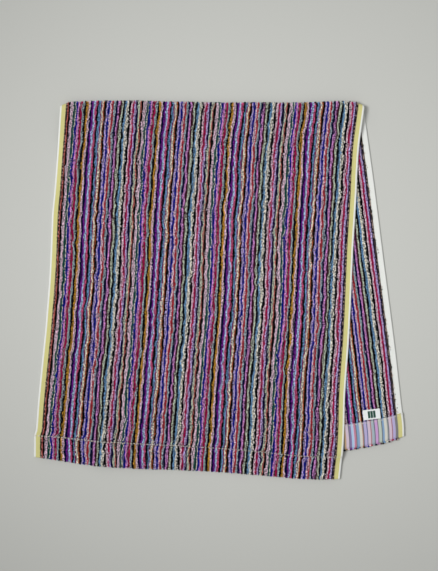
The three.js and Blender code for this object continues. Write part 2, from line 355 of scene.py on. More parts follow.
def swell(points):
    near = cover(inside_under_side(points) - EDGE_FALL)
    total = 0
    for row in SWELLS:
        distance = np.hypot(points[..., 0] - row["x"], points[..., 1] - row["y"]) / row["reach"]
        total = total + row["height"] * np.exp(-distance * distance)
    return near * total


def front_reverse(points, up, across, length):
    depth = hem_depth("front", across)
    flap_lift = (HEM_THICK + PLY_GAP) * cover(depth - up)
    fold_lift = (FOLD_GAP - PLY_GAP) * ease(up, length - FOLD_REACH, length)
    swell_share = ease(up, depth, 2 * depth) * ease(length - up, 0, FOLD_REACH)
    return support(points) + flap_lift + fold_lift + swell(points) * swell_share


def stitch_press(across, up):
    """How far the stitches draw the front hem in."""
    from_stitch = (up + STITCH_INSET - hem_depth("front", across)) / STITCH_REACH
    return STITCH_DIP * np.exp(-from_stitch * from_stitch)


def at_height(points, height):
    return np.concatenate([points, np.broadcast_to(height, points.shape[:-1])[..., None]], -1)


def turn(share, centre, outward, inner_reach, outer_reach, lower, upper):
    """Half a turn between two plies that lie over each other: its face and its reverse."""
    reach = np.sin(math.pi * share)[None, :, None]
    lift = ((1 - np.cos(math.pi * share)) / 2)[None, :]
    sides = []
    for side, side_reach in ((0, outer_reach), (1, inner_reach)):
        out = np.broadcast_to(np.asarray(side_reach, float), centre.shape[:1])[:, None, None]
        points = centre[:, None] + outward[:, None] * out * reach
        sides.append(at_height(points, blend(lower[side][:, None], upper[side][:, None], lift)))
    return sides


def lay_cloth(across, rows):
    """Face and reverse of the cloth along these threads: rows gives each run's shares of its length."""
    front = Threads(front_edge(across), FRONT_SIDES, across)
    under = Threads(under_edge(across), UNDER_SIDES, across)
    thick = pile_thickness(across)
    wide = across[:, None]
    zero = np.zeros_like(across)
    laid = {}

    def hem_then_rest(share, layer, length):
        """The lengths up a layer: the first HEM_SHARE of its shares is the hem."""
        depth = hem_depth(layer, across)[:, None]
        in_hem = np.minimum(share / HEM_SHARE, 1)
        in_rest = np.maximum((share - HEM_SHARE) / (1 - HEM_SHARE), 0)
        return in_hem * depth + in_rest * (length[:, None] - depth)

    def front_ply(up):
        points = front.at(up)
        reverse = front_reverse(points, up, wide, front.length[:, None])
        face = reverse + thick[:, None] - stitch_press(wide, up)
        return at_height(points, face), at_height(points, reverse)

    up = (1 - rows["front flap"]) * hem_depth("front", across)[:, None]
    points = front.at(up)
    laid["front flap"] = at_height(points, support(points)), at_height(points, support(points) + HEM_THICK)

    foot = front.at(np.zeros_like(wide))[:, 0]
    face, reverse = front_ply(np.zeros_like(wide))
    lower = support(foot), support(foot) + HEM_THICK
    upper = face[:, 0, 2], reverse[:, 0, 2]
    laid["front turn"] = turn(
        rows["front turn"], foot, front.outward, PLY_GAP / 2, HEM_TURN, lower, upper
    )

    laid["front layer"] = front_ply(hem_then_rest(rows["front layer"], "front", front.length))

    head = fold_centre(across)
    face, reverse = front_ply(front.length[:, None])
    upper = face[:, 0, 2], reverse[:, 0, 2]
    up_y = np.broadcast_to([0.0, 1.0], head.shape)
    lower = zero, thick
    laid["fold"] = turn(1 - rows["fold"], head, up_y, FOLD_GAP / 2, FOLD_GAP / 2 + thick, lower, upper)

    up = hem_then_rest(1 - rows["under layer"], "under", under.length)
    points = under.at(up)
    laid["under layer"] = at_height(points, 0.0), at_height(points, thick[:, None])

    foot = under.at(np.zeros_like(wide))[:, 0]
    lower, upper = (zero, thick), (thick + PLY_GAP + HEM_THICK, thick + PLY_GAP)
    laid["under turn"] = turn(
        rows["under turn"], foot, under.outward, PLY_GAP / 2, HEM_TURN, lower, upper
    )

    points = under.at(rows["under flap"] * hem_depth("under", across)[:, None])
    laid["under flap"] = at_height(points, upper[0][:, None]), at_height(points, upper[1][:, None])
    return laid


HEM_SHARE = 0.07


def cloth_lengths(rows):
    """How far along the cloth each row of each run lies, from the front hem's free edge."""
    starts, start = {}, 0.0
    for run, length in RUNS:
        starts[run] = start + np.asarray(rows[run]) * length
        start += length
    return starts


def plan_shift():
    """From the plan's own zero to the solid's, which lies under the middle of its box."""
    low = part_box("towel")[0] / MM
    bottom = front_edge(np.linspace(0, 1, 681)).min(axis=0)[1]
    return np.array([low.x - FRONT["left"][0], low.y - bottom, 0.0])


# Mesh helpers


def grid_normals(points):
    """Unit normals of a grid of points, threads first and rows second, away from the grid's back."""
    along = np.gradient(points, axis=1)
    over = np.gradient(points, axis=0)
    normal = np.cross(over, along)
    return normal / np.maximum(np.linalg.norm(normal, axis=-1, keepdims=True), 1e-9)


def noise_field(seed, x, y, cell_x, cell_y):
    """Smooth seeded noise from -1 to 1, with one free value for each cell."""
    rng = np.random.default_rng(seed)
    i, j = np.broadcast_arrays(x / cell_x, y / cell_y)
    i, j = i - i.min(), j - j.min()
    i0, j0 = np.floor(i).astype(int), np.floor(j).astype(int)
    values = rng.uniform(-1, 1, (i0.max() + 2, j0.max() + 2))
    s, t = ease(i - i0, 0, 1), ease(j - j0, 0, 1)
    low = blend(values[i0, j0], values[i0 + 1, j0], s)
    high = blend(values[i0, j0 + 1], values[i0 + 1, j0 + 1], s)
    return blend(low, high, t)


def add_piece(name, points, faces, material_slots, uvs=None, face_slots=None, fleck=None):
    """A smooth mesh piece from points in millimetres and faces that all have the same number of corners."""
    mesh = bpy.data.meshes.new(name)
    corners = faces.reshape(-1)
    mesh.vertices.add(len(points))
    mesh.vertices.foreach_set("co", ((points + SHIFT) * MM).astype(np.float32).reshape(-1))
    mesh.loops.add(len(corners))
    mesh.loops.foreach_set("vertex_index", corners.astype(np.int32))
    mesh.polygons.add(len(faces))
    mesh.polygons.foreach_set("loop_start", np.arange(0, len(corners), faces.shape[1], dtype=np.int32))
    if face_slots is not None:
        mesh.polygons.foreach_set("material_index", face_slots.astype(np.int32))
    mesh.update(calc_edges=True)
    mesh.shade_smooth()
    if uvs is not None:
        layer = mesh.uv_layers.new(name=CLOTH_MAP)
        layer.uv.foreach_set("vector", uvs[corners].astype(np.float32).reshape(-1))
    if fleck is not None:
        values = mesh.attributes.new("fleck", "FLOAT", "POINT")
        values.data.foreach_set("value", fleck.astype(np.float32))
    piece = bpy.data.objects.new(name, mesh)
    bpy.context.scene.collection.objects.link(piece)
    for material in material_slots:
        mesh.materials.append(material)
    return piece


CLOTH_MAP = "OFBake"


def cloth_uv(across, length):
    """Where a point of the cloth lies on its map: stripes run up it, hems at its two ends."""
    return np.stack(np.broadcast_arrays(across, length / CLOTH_LENGTH), -1)


# Materials


def add_node(tree, kind, settings=None, **links):
    """Adds a node with its settings, and sets or links its inputs, whose names have _ for a space."""
    node = tree.nodes.new(kind)
    for key, value in (settings or {}).items():
        setattr(node, key, value)
    for key, value in links.items():
        socket = node.inputs[key.replace("_", " ")]
        if isinstance(value, bpy.types.NodeSocket):
            tree.links.new(value, socket)
        else:
            socket.default_value = value
    return node


def new_material(name):
    material = bpy.data.materials.new(name)
    material.use_nodes = True
    material.node_tree.nodes.clear()
    return material, material.node_tree


def finish_material(
    tree, colour, roughness, bump_height=None, bump_distance=0.0003, bump_strength=0.5, sheen=0.0,
    specular=0.2,
):
    """The shader of a cloth, with a bump where a height is given."""
    shader = add_node(tree, "ShaderNodeBsdfPrincipled", Base_Color=colour, Roughness=roughness)
    shader.inputs["Sheen Weight"].default_value = sheen
    shader.inputs["Sheen Roughness"].default_value = 0.5
    shader.inputs["Specular IOR Level"].default_value = specular
    if bump_height is not None:
        bump = add_node(
            tree, "ShaderNodeBump", Strength=bump_strength, Distance=bump_distance, Height=bump_height
        )
        tree.links.new(bump.outputs["Normal"], shader.inputs["Normal"])
    add_node(tree, "ShaderNodeOutputMaterial", Surface=shader.outputs[0])


def math_node(tree, operation, *values, clamp=False):
    node = add_node(tree, "ShaderNodeMath", {"operation": operation, "use_clamp": clamp})
    for index, value in enumerate(values):
        if isinstance(value, bpy.types.NodeSocket):
            tree.links.new(value, node.inputs[index])
        else:
            node.inputs[index].default_value = value
    return node.outputs[0]


def mix_colours(tree, share, first, second, blend_type="MIX"):
    node = add_node(tree, "ShaderNodeMix", {"data_type": "RGBA", "blend_type": blend_type})
    for socket, value in ((node.inputs[0], share), (node.inputs[6], first), (node.inputs[7], second)):
        if isinstance(value, bpy.types.NodeSocket):
            tree.links.new(value, socket)
        elif isinstance(value, (int, float)):
            socket.default_value = value
        else:
            socket.default_value = (*value[:3], 1.0)
    return node.outputs[2]


def stripe_colour(tree, across, fleck=None):
    """The colour of the yarn at this place across the cloth: a marl's loops are dark where fleck is low."""
    yarns = bpy.context.scene.towel_yarns
    from_pile = math_node(tree, "MULTIPLY_ADD", across, CLOTH_WIDTH, -SELVEDGE_WIDTH)
    repeat = math_node(tree, "FRACT", math_node(tree, "DIVIDE", from_pile, REPEAT_ENDS * END_PITCH))
    halves = split_stripes()
    ramps = []
    for start, stripes in halves:
        width = sum(ends for _, ends in stripes)
        place = math_node(tree, "MULTIPLY_ADD", repeat, REPEAT_ENDS / width, -start / width, clamp=True)
        node = add_node(tree, "ShaderNodeValToRGB", Fac=place)
        ramp = node.color_ramp
        ramp.interpolation = "CONSTANT"
        ramp.elements.remove(ramp.elements[1])
        done = 0
        for index, (yarn, ends) in enumerate(stripes):
            element = ramp.elements[0] if index == 0 else ramp.elements.new(done / width)
            element.position = done / width
            element.color = (*getattr(yarns, yarn), 0.0 if yarn in MARLS else 1.0)
            done += ends
        ramps.append(node)
    in_second = math_node(tree, "GREATER_THAN", repeat, halves[1][0] / REPEAT_ENDS)
    first, second = (ramp.outputs["Color"] for ramp in ramps)
    colour = mix_colours(tree, in_second, first, second)
    in_first = math_node(tree, "SUBTRACT", 1.0, in_second)
    first_plain = math_node(tree, "MULTIPLY", ramps[0].outputs["Alpha"], in_first)
    plain = math_node(tree, "MULTIPLY_ADD", ramps[1].outputs["Alpha"], in_second, first_plain)
    from_side = math_node(tree, "MINIMUM", across, math_node(tree, "SUBTRACT", 1.0, across))
    side_width = SELVEDGE_WIDTH + SIDE_ENDS * END_PITCH
    inner = math_node(tree, "GREATER_THAN", from_side, side_width / CLOTH_WIDTH)
    colour = mix_colours(tree, inner, yarns.umber, colour)
    pale = 0.5
    if fleck is not None:
        low = math_node(tree, "MULTIPLY_ADD", inner, DARK_SHARE - SIDE_DARK_SHARE, SIDE_DARK_SHARE)
        pale = math_node(tree, "GREATER_THAN", fleck, low)
    shown = math_node(tree, "MAXIMUM", math_node(tree, "MULTIPLY", plain, inner), pale)
    return mix_colours(tree, shown, yarns.dark, colour)


def split_stripes():
    """The repeat in two parts, each short enough for one colour ramp, with the end it starts at."""
    done = 0
    for index, (_, ends) in enumerate(STRIPES):
        if done * 2 >= REPEAT_ENDS:
            return (0, STRIPES[:index]), (done, STRIPES[index:])
        done += ends
    raise RuntimeError("the stripes have no second half")


def cloth_place(tree):
    """Across and along the cloth, from its own map."""
    place = add_node(tree, "ShaderNodeUVMap", {"uv_map": CLOTH_MAP})
    parts = add_node(tree, "ShaderNodeSeparateXYZ", Vector=place.outputs["UV"])
    return place.outputs["UV"], parts.outputs["X"], parts.outputs["Y"]


def scaled(tree, vector, x, y, z=1.0):
    return add_node(
        tree, "ShaderNodeMapping", {"vector_type": "POINT"}, Vector=vector, Scale=(x, y, z)
    ).outputs["Vector"]


def pile_material():
    """Dyed cotton loop pile: dull, its yarn colours with painted shade and highlight that alternate from loop
    to loop, plus some random tone.
    """
    material, tree = new_material("Cotton Loop Pile")
    place, across, _ = cloth_place(tree)
    fleck = add_node(tree, "ShaderNodeAttribute", {"attribute_name": "fleck"}).outputs["Fac"]
    colour = stripe_colour(tree, across, fleck)
    # Painted shade and highlight: each loop's colour is darkened or lightened, as if shaded between loops and
    # lit on top
    painted_loop_shade = math_node(tree, "MULTIPLY_ADD", fleck, 0.65, 0.7)
    colour = mix_colours(tree, 1.0, colour, grey(tree, painted_loop_shade), "MULTIPLY")
    # Twisted fibres, drawn at 0.5 mm so that they still break up a loop
    fibres = add_node(
        tree, "ShaderNodeTexNoise", Vector=scaled(tree, place, CLOTH_WIDTH / 0.5, CLOTH_LENGTH / 0.5),
        Detail=1.0, Scale=1.0,
    ).outputs["Fac"]
    finish_material(
        tree, colour, 0.95, fibres, bump_distance=0.0004, bump_strength=0.4, sheen=0.01, specular=0.03
    )
    return material


# The share of a marl's loops that show its dark strand, among the stripes and at the selvedges
DARK_SHARE = 0.36
SIDE_DARK_SHARE = 0.52


def grey(tree, value):
    return add_node(tree, "ShaderNodeCombineColor", Red=value, Green=value, Blue=value).outputs["Color"]


def ground_material(side):
    """Woven cotton ground: painted shade darkens it under its loops, pale at the flat hems, plain at the
    selvedges.
    """
    settings = bpy.context.scene.towel_settings
    material, tree = new_material(f"Terry Ground {side.capitalize()}")
    place, across, along = cloth_place(tree)
    stripes = stripe_colour(tree, across)

    # Flat hems: the white weft pales each dyed end, and pale ends crowd the dark ones beside them
    flap = (HEM_LENGTH + TURN_LENGTH / 2) / CLOTH_LENGTH
    from_end = math_node(tree, "MINIMUM", along, math_node(tree, "SUBTRACT", 1.0, along))
    in_flap = math_node(tree, "LESS_THAN", from_end, flap)
    beside = stripe_colour(tree, math_node(tree, "ADD", across, END_PITCH / CLOTH_WIDTH))
    showing = mix_colours(tree, 1.0, stripes, beside, "LIGHTEN")
    paled = mix_colours(tree, FLAP_PALE, showing, settings.weft_white)
    paled = mix_colours(tree, FLAP_DEPTH, paled, showing, "MULTIPLY")
    # Painted shade: where the ground shows between the loops it is darkened to 0.3, as if in their shadow
    painted_gap_shade = mix_colours(tree, 1.0, stripes, (0.3, 0.3, 0.3), "MULTIPLY")
    colour = mix_colours(tree, in_flap, painted_gap_shade, paled)

    # Selvedges: a yellow band and a white edge on the face, white all over on the reverse
    from_side = math_node(tree, "MINIMUM", across, math_node(tree, "SUBTRACT", 1.0, across))
    in_selvedge = math_node(tree, "LESS_THAN", from_side, SELVEDGE_WIDTH / CLOTH_WIDTH)
    if side == "face":
        in_white = math_node(tree, "LESS_THAN", from_side, WHITE_EDGE / CLOTH_WIDTH)
        edge = mix_colours(tree, in_white, settings.selvedge_yellow, settings.selvedge_white)
    else:
        edge = settings.selvedge_white
    colour = mix_colours(tree, in_selvedge, colour, edge)

    # Plain weave, drawn coarser than it is, at 1 mm across and 0.8 mm along, with uneven picks
    rough = add_node(
        tree, "ShaderNodeTexNoise", Vector=scaled(tree, place, CLOTH_WIDTH / 1.2, CLOTH_LENGTH / 0.9),
        Scale=1.0, Detail=2.0,
    ).outputs["Fac"]
    ends = add_node(
        tree, "ShaderNodeTexWave", {"wave_type": "BANDS", "bands_direction": "X", "wave_profile": "SIN"},
        Vector=scaled(tree, place, CLOTH_WIDTH / END_PITCH, 0.0), Scale=WAVE_REPEAT,
    ).outputs["Fac"]
    picks = add_node(
        tree, "ShaderNodeTexWave", {"wave_type": "BANDS", "bands_direction": "Y", "wave_profile": "SIN"},
        Vector=scaled(tree, place, 0.0, CLOTH_LENGTH / PICK_PITCH), Scale=WAVE_REPEAT,
    ).outputs["Fac"]
    weave = math_node(tree, "MULTIPLY", ends, picks)
    height = math_node(tree, "MULTIPLY_ADD", rough, 0.6, weave)
    # Painted shade in the weave's hollows: the colour darkens where the bump is low
    hollow_shade = math_node(tree, "MULTIPLY_ADD", height, 0.16, 0.86)
    colour = mix_colours(tree, 1.0, colour, grey(tree, hollow_shade), "MULTIPLY")
    finish_material(tree, colour, 0.9, height, bump_distance=0.0004, bump_strength=0.6, sheen=0.05)
    return material


WHITE_EDGE = 2.0
FLAP_PALE = 0.5
FLAP_DEPTH = 0.46
PICK_PITCH = 0.8
# The scale at which a wave texture repeats once in each unit
WAVE_REPEAT = math.pi / 10


def thread_material():
    """Spun polyester sewing thread: pale, slightly lustrous."""
    material, tree = new_material("Sewing Thread")
    settings = bpy.context.scene.towel_settings
    place = add_node(tree, "ShaderNodeTexCoord").outputs["Object"]
    twist = add_node(tree, "ShaderNodeTexNoise", Vector=place, Scale=2500.0).outputs["Fac"]
    colour = mix_colours(tree, twist, settings.thread_cream, [c * 0.8 for c in settings.thread_cream])
    finish_material(tree, colour, 0.6, twist, bump_distance=0.0002, sheen=0.1)
    return material


def label_material():
    """Woven polyester ribbon: smooth white satin with dark green bars woven in."""
    material, tree = new_material("Woven Label Ribbon")
    settings = bpy.context.scene.towel_settings
    place, across, along = cloth_place(tree)
    wide, deep = settings.label_width / MM, settings.label_depth / MM
    x = math_node(tree, "MULTIPLY_ADD", across, wide, -wide / 2)
    y = math_node(tree, "MULTIPLY_ADD", along, deep, -deep / 2)
    from_middle = math_node(tree, "ABSOLUTE", x)
    in_bar = math_node(
        tree, "LESS_THAN", math_node(tree, "PINGPONG", from_middle, BAR_PITCH / 2), BAR_WIDTH / 2
    )
    in_mark = math_node(tree, "LESS_THAN", from_middle, BAR_PITCH * 1.5)
    in_height = math_node(tree, "LESS_THAN", math_node(tree, "ABSOLUTE", y), BAR_HEIGHT / 2)
    marked = math_node(tree, "MULTIPLY", math_node(tree, "MULTIPLY", in_bar, in_mark), in_height)
    colour = mix_colours(tree, marked, settings.label_white, settings.label_green)
    picks = add_node(
        tree, "ShaderNodeTexNoise", Vector=scaled(tree, place, wide / 0.4, deep / 0.2), Scale=1.0,
    ).outputs["Fac"]
    # Painted shade in the ribbon's hollows: the colour darkens where the bump is low
    hollow_shade = math_node(tree, "MULTIPLY_ADD", picks, 0.2, 0.88)
    colour = mix_colours(tree, 1.0, colour, grey(tree, hollow_shade), "MULTIPLY")
    finish_material(tree, colour, 0.55, picks, bump_distance=0.0001, bump_strength=0.4, sheen=0.1)
    return material


BAR_PITCH = 3.0
BAR_WIDTH = 2.6
BAR_HEIGHT = 7.9


# Pieces


def spaced(low, high, pitch):
    """Places from low to high, about this far apart."""
    count = max(1, round((high - low) / pitch))
    return np.linspace(low, high, count + 1)


def make_cloth():
    """The woven ground, closed all round, sunk under the loops wherever the piles show."""
    pile_start = SELVEDGE_WIDTH + PILE_SHOULDER
    inner = spaced(pile_start, CLOTH_WIDTH - pile_start, 3 * END_PITCH)
    edge = np.array([0.0, 1.2, 3.4, 5.6, SELVEDGE_WIDTH])
    across = np.concatenate([edge, inner, CLOTH_WIDTH - edge[::-1]]) / CLOTH_WIDTH

    hem = np.linspace(0, HEM_SHARE, 11)
    rows = {
        "front flap": np.linspace(0, 1, 11),
        "front turn": np.linspace(0, 1, 8)[1:-1],
        "front layer": np.concatenate([hem, np.linspace(HEM_SHARE, 1, 92)[1:]]),
        "fold": np.linspace(0, 1, 12)[1:-1],
        "under layer": 1 - np.concatenate([np.linspace(HEM_SHARE, 1, 72)[:0:-1], hem[::-1]]),
        "under turn": np.linspace(0, 1, 8)[1:-1],
        "under flap": np.linspace(0, 1, 11),
    }
    laid = lay_cloth(across, rows)
    lengths = cloth_lengths(rows)
    face = np.concatenate([laid[run][0] for run, _ in RUNS], 1)
    reverse = np.concatenate([laid[run][1] for run, _ in RUNS], 1)
    along = np.concatenate([lengths[run] for run, _ in RUNS])

    # Under the loops the ground is sunk, so that they stand as high as the solid does
    sunk_face = np.concatenate([np.full(len(rows[run]), FACE_SINK[run]) for run, _ in RUNS])
    sunk_reverse = np.concatenate([np.full(len(rows[run]), REVERSE_SINK[run]) for run, _ in RUNS])
    from_side = np.minimum(across, 1 - across) * CLOTH_WIDTH
    in_pile = np.clip((from_side - SELVEDGE_WIDTH) / PILE_SHOULDER, 0, 1)[:, None, None]
    face = face - grid_normals(face) * sunk_face[None, :, None] * in_pile
    reverse = reverse + grid_normals(reverse) * sunk_reverse[None, :, None] * in_pile

    threads, count = face.shape[:2]
    points = np.concatenate([face.reshape(-1, 3), reverse.reshape(-1, 3)])
    uv = cloth_uv(across[:, None], along[None, :]).reshape(-1, 2)
    index = np.arange(threads * count).reshape(threads, count)
    back = index + threads * count
    quads, slots = [], []
    for grid, slot, flip in ((index, 0, False), (back, 1, True)):
        a, b, c, d = grid[:-1, :-1], grid[1:, :-1], grid[1:, 1:], grid[:-1, 1:]
        quad = np.stack([a, d, c, b] if flip else [a, b, c, d], -1).reshape(-1, 4)
        quads.append(quad)
        slots.append(np.full(len(quad), slot))
    rims = (
        np.stack([index[0, :-1], index[0, 1:], back[0, 1:], back[0, :-1]], -1),
        np.stack([index[-1, 1:], index[-1, :-1], back[-1, :-1], back[-1, 1:]], -1),
        np.stack([index[1:, 0], index[:-1, 0], back[:-1, 0], back[1:, 0]], -1),
        np.stack([index[:-1, -1], index[1:, -1], back[1:, -1], back[:-1, -1]], -1),
    )
    for rim in rims:
        quads.append(rim)
        slots.append(np.full(len(rim), 0))
    grounds = [ground_material("face"), ground_material("reverse")]
    return add_piece(
        "towel_cloth", points, np.concatenate(quads), grounds, np.concatenate([uv, uv]),
        np.concatenate(slots),
    )


# How deep the ground lies under the pile's height, and how far the loops' middles stand above it
LOOP_SINK = 0.9
LOOP_LIFT = 0.5
# Loops lower than this are pressed flat by the surface under the towel
PRESSED = 0.4
# The ends at which the front pile is parted into pieces, each with under 200,000 triangles
PILE_PARTS = (0, 106, 212, PILE_ENDS)
# How far the under layer's loops and seam go on beneath the front layer's edge
UNDER_MARGIN = 7.0
SEAM_MARGIN = 5.0
# The share of each stitch's step in which its thread shows
STITCH_SHARES = {"front": 0.72, "under": 0.7}
# From the front hem's turn up to its stitches, along the cloth before folding
STITCH_ALONG = 26.0
FACE_SINK = {
    "front flap": 0, "front turn": 0.5, "front layer": LOOP_SINK, "fold": LOOP_SINK, "under layer": 0,
    "under turn": 0.6, "under flap": 0,
}
REVERSE_SINK = {
    "front flap": 0, "front turn": 0, "front layer": 0, "fold": 0, "under layer": LOOP_SINK,
    "under turn": 0, "under flap": 0,
}

# A loop's corners as shares of its length, width and height, and its faces, which all point out
LOOP_CORNERS = np.array([
    (0.5, 0, -0.3), (-0.5, 0, -0.3), (0, 0.5, -0.1), (0, -0.5, -0.1), (0, 0, 0.5), (0, 0, -0.5),
])
LOOP_FACES = np.array([
    (4, 0, 2), (4, 2, 1), (4, 1, 3), (4, 3, 0), (5, 2, 0), (5, 1, 2), (5, 3, 1), (5, 0, 3),
])


def pile_frame(points, flipped):
    """Unit vectors along, over and out of a grid of points."""
    along = np.gradient(points, axis=1)
    along /= np.linalg.norm(along, axis=-1, keepdims=True)
    out = grid_normals(points) * (-1 if flipped else 1)
    over = np.cross(out, along)
    return along, over, out


def make_loops(
    name, points, ends, along_cloth, keep, material, flipped=False, calm=1.0, flop=0.8, proud=0.0, seed=1
):
    """Pile loops at a grid of places, each end of them wandering sideways among its neighbours."""
    settings = bpy.context.scene.towel_settings
    rng = np.random.default_rng(seed)
    along, over, out = pile_frame(points, flipped)
    grid = points.shape[:2]
    end_grid = np.broadcast_to(ends[:, None], grid)
    way = np.broadcast_to(along_cloth, grid)

    from_side = np.minimum(end_grid + 0.5, PILE_ENDS - end_grid - 0.5) * END_PITCH
    room = np.clip(from_side / 8, 0.15, 1)
    x = end_grid * END_PITCH
    sway = 0.9 * noise_field(11, x, way, 15, 28) + noise_field(15, x, way, 5, 7)
    end = end_grid * 1.0
    wander = noise_field(12, end, way, 1.7, 6) + 0.9 * noise_field(13, end, way, 2.4, 14) ** 3
    wander = wander + 0.35 * noise_field(18, end, way, 1.0, 3.2)
    side = (settings.sway / MM * sway + settings.wander / MM * wander) * room * calm
    from_stitch = way - HEM_LENGTH - TURN_LENGTH - STITCH_ALONG
    # The hem's stitches draw the ends on either side of them a little apart
    kink = (0.35 + 0.9 * noise_field(16, x, way * 0, 7, 9)) * np.sign(from_stitch)
    side = side + kink * np.exp(-np.abs(from_stitch) / 5) * room
    # The ends next to the selvedges fall loosely over them, most of all near the under hem
    right_way = np.sign((over * np.gradient(points, axis=0)).sum(-1))
    outer = (end_grid >= PILE_ENDS - SIDE_ENDS) * 1.0 - (end_grid < SIDE_ENDS)
    loose = flop * right_way * outer * (1 + 0.6 * ease(way, CLOTH_LENGTH - 110, CLOTH_LENGTH - 60))
    side = side + loose * rng.uniform(0.5, 1, grid) * np.maximum(0, 0.4 + noise_field(17, x, way, 1.5, 4))
    side_slope = np.gradient(side, axis=1) / np.maximum(np.abs(np.gradient(way, axis=1)), 1e-6)
    side_slope = np.clip(side_slope, -0.8, 0.8)
    stray = (rng.uniform(0, 1, grid) < 0.03) * rng.normal(0, 0.6, grid)
    side = side + rng.normal(0, 0.24, grid) + stray * room
    pitch = settings.loop_pitch / MM
    half = pitch / 2
    forth = rng.uniform(-half, half, (grid[0], 1)) + rng.uniform(-0.6, 0.6, grid)
    rise = rng.normal(0, 0.11, grid) + 0.2 * noise_field(14, end, way, 1.2, 5) + 0.25 * np.abs(stray)

    turn_angle = np.arctan(side_slope) * 0.9 + rng.normal(0, 0.22, grid)
    size = rng.uniform(0.8, 1.2, (*grid, 3))
    warp = [yarn in FULL_YARNS for yarn, count in STRIPES for _ in range(count)]
    full = np.array(warp, float)[ends.astype(int) % REPEAT_ENDS][:, None]
    rise = rise + FULL_RISE * full
    size[..., 1] *= 1 + 0.15 * full
    pressed = np.exp(-((from_stitch / 1.6) ** 2))
    size[..., 2] *= 1 - 0.55 * pressed
    rise = rise - 0.35 * pressed
    length, width, height = (
        value / MM * size[..., axis]
        for axis, value in enumerate((settings.loop_length, settings.loop_width, settings.loop_height))
    )
    lift = rise - LOOP_SINK + LOOP_LIFT + proud * (0.4 + 0.6 * full)
    centre = points + over * side[..., None] + along * forth[..., None] + out * lift[..., None]
    cos, sin = np.cos(turn_angle)[..., None], np.sin(turn_angle)[..., None]
    front, right = along * cos + over * sin, over * cos - along * sin

    centre, front, right, out = (value[keep] for value in (centre, front, right, out))
    length, width, height = (value[keep][:, None, None] for value in (length, width, height))
    corners = (
        centre[:, None]
        + front[:, None] * LOOP_CORNERS[:, 0][None, :, None] * length
        + right[:, None] * LOOP_CORNERS[:, 1][None, :, None] * width
        + out[:, None] * LOOP_CORNERS[:, 2][None, :, None] * height
    )
    count = len(centre)
    height = corners[..., 2]
    corners[..., 2] = np.where(height < PRESSED, PRESSED * np.exp(height / PRESSED - 1), height)
    faces = (LOOP_FACES[None] + np.arange(count)[:, None, None] * len(LOOP_CORNERS)).reshape(-1, 3)
    across = (SELVEDGE_WIDTH + (end_grid[keep] + 0.5) * END_PITCH) / CLOTH_WIDTH
    # Each loop has a small place of its own on the map, inside its end's stripe
    middle = cloth_uv(across, way[keep])
    spread = LOOP_CORNERS[:, 1::-1] * [0.5 * END_PITCH / CLOTH_WIDTH, 0.8 * pitch / CLOTH_LENGTH]
    uvs = (middle[:, None] + spread[None]).reshape(-1, 2)
    # Loops of one end take turns between low and high values: darker and lighter painted shade, and a marl's
    # strands
    swapped = rng.integers(0, 2, (grid[0], 1)) + (rng.uniform(0, 1, grid) < 0.25)
    turns = (np.arange(grid[1])[None, :] + swapped) % 2
    fleck = np.repeat(0.5 * turns[keep] + rng.uniform(0, 0.5, count), len(LOOP_CORNERS))
    return add_piece(name, corners.reshape(-1, 3), faces, [material], uvs, fleck=fleck)


def make_pile():
    settings = bpy.context.scene.towel_settings
    pitch = settings.loop_pitch / MM
    ends = np.arange(PILE_ENDS)
    across = (SELVEDGE_WIDTH + (ends + 0.5) * END_PITCH) / CLOTH_WIDTH
    hem_count = round(HEM_LENGTH / pitch)
    hem_rows = (np.arange(hem_count) + 0.5) / hem_count * HEM_SHARE
    layer_count = round((dict(RUNS)["front layer"] - HEM_LENGTH) / pitch)
    layer_rows = HEM_SHARE + (np.arange(layer_count) + 0.5) / layer_count * (1 - HEM_SHARE)
    rows = {
        "front flap": np.array([0.0, 1.0]),
        "front turn": np.array([0.4, 0.8]),
        "front layer": np.concatenate([hem_rows, layer_rows]),
        "fold": (np.arange(6) + 0.5) / 6,
        "under layer": 1 - np.concatenate([hem_rows, layer_rows])[::-1],
        "under turn": np.array([0.1, 0.3, 0.5, 0.64]),
        "under flap": np.array([0.0, 1.0]),
    }
    laid = lay_cloth(across, rows)
    lengths = cloth_lengths(rows)
    material = pile_material()
    pieces = []

    runs = ("front turn", "front layer", "fold")
    points = np.concatenate([laid[run][0] for run in runs], 1)
    way = np.concatenate([lengths[run] for run in runs])
    for index, (first, last) in enumerate(zip(PILE_PARTS, PILE_PARTS[1:])):
        keep = np.zeros(points.shape[:2], bool)
        keep[first:last] = True
        pieces.append(
            make_loops(f"pile_front_{index + 1}", points, ends, way, keep, material, seed=21 + index)
        )

    points, way = laid["under layer"][1], lengths["under layer"]
    right = front_right_edge(points[..., 1])
    shares = rows["under layer"]
    keep = (points[..., 0] > right - UNDER_MARGIN) & (shares < 1 - HEM_SHARE)[None, :]
    pieces.append(
        make_loops("pile_under", points, ends, way, keep, material, flipped=True, calm=0.5, flop=3.5, seed=31)
    )
    points, way = laid["under turn"][0], lengths["under turn"]
    keep = points[..., 0] > right[:, -1:] - UNDER_MARGIN
    pieces.append(make_loops("pile_hem_roll", points, ends, way, keep, material, proud=0.9, seed=41))
    return pieces


def front_right_edge(y):
    """Where the front layer's right edge lies at these heights of the plan."""
    across = np.array([1.0])
    front = Threads(front_edge(across), FRONT_SIDES, across)
    line = front.at(np.linspace(0, 1, 60)[None, :] * front.length[:, None])[0]
    return np.interp(y, line[:, 1], line[:, 0])


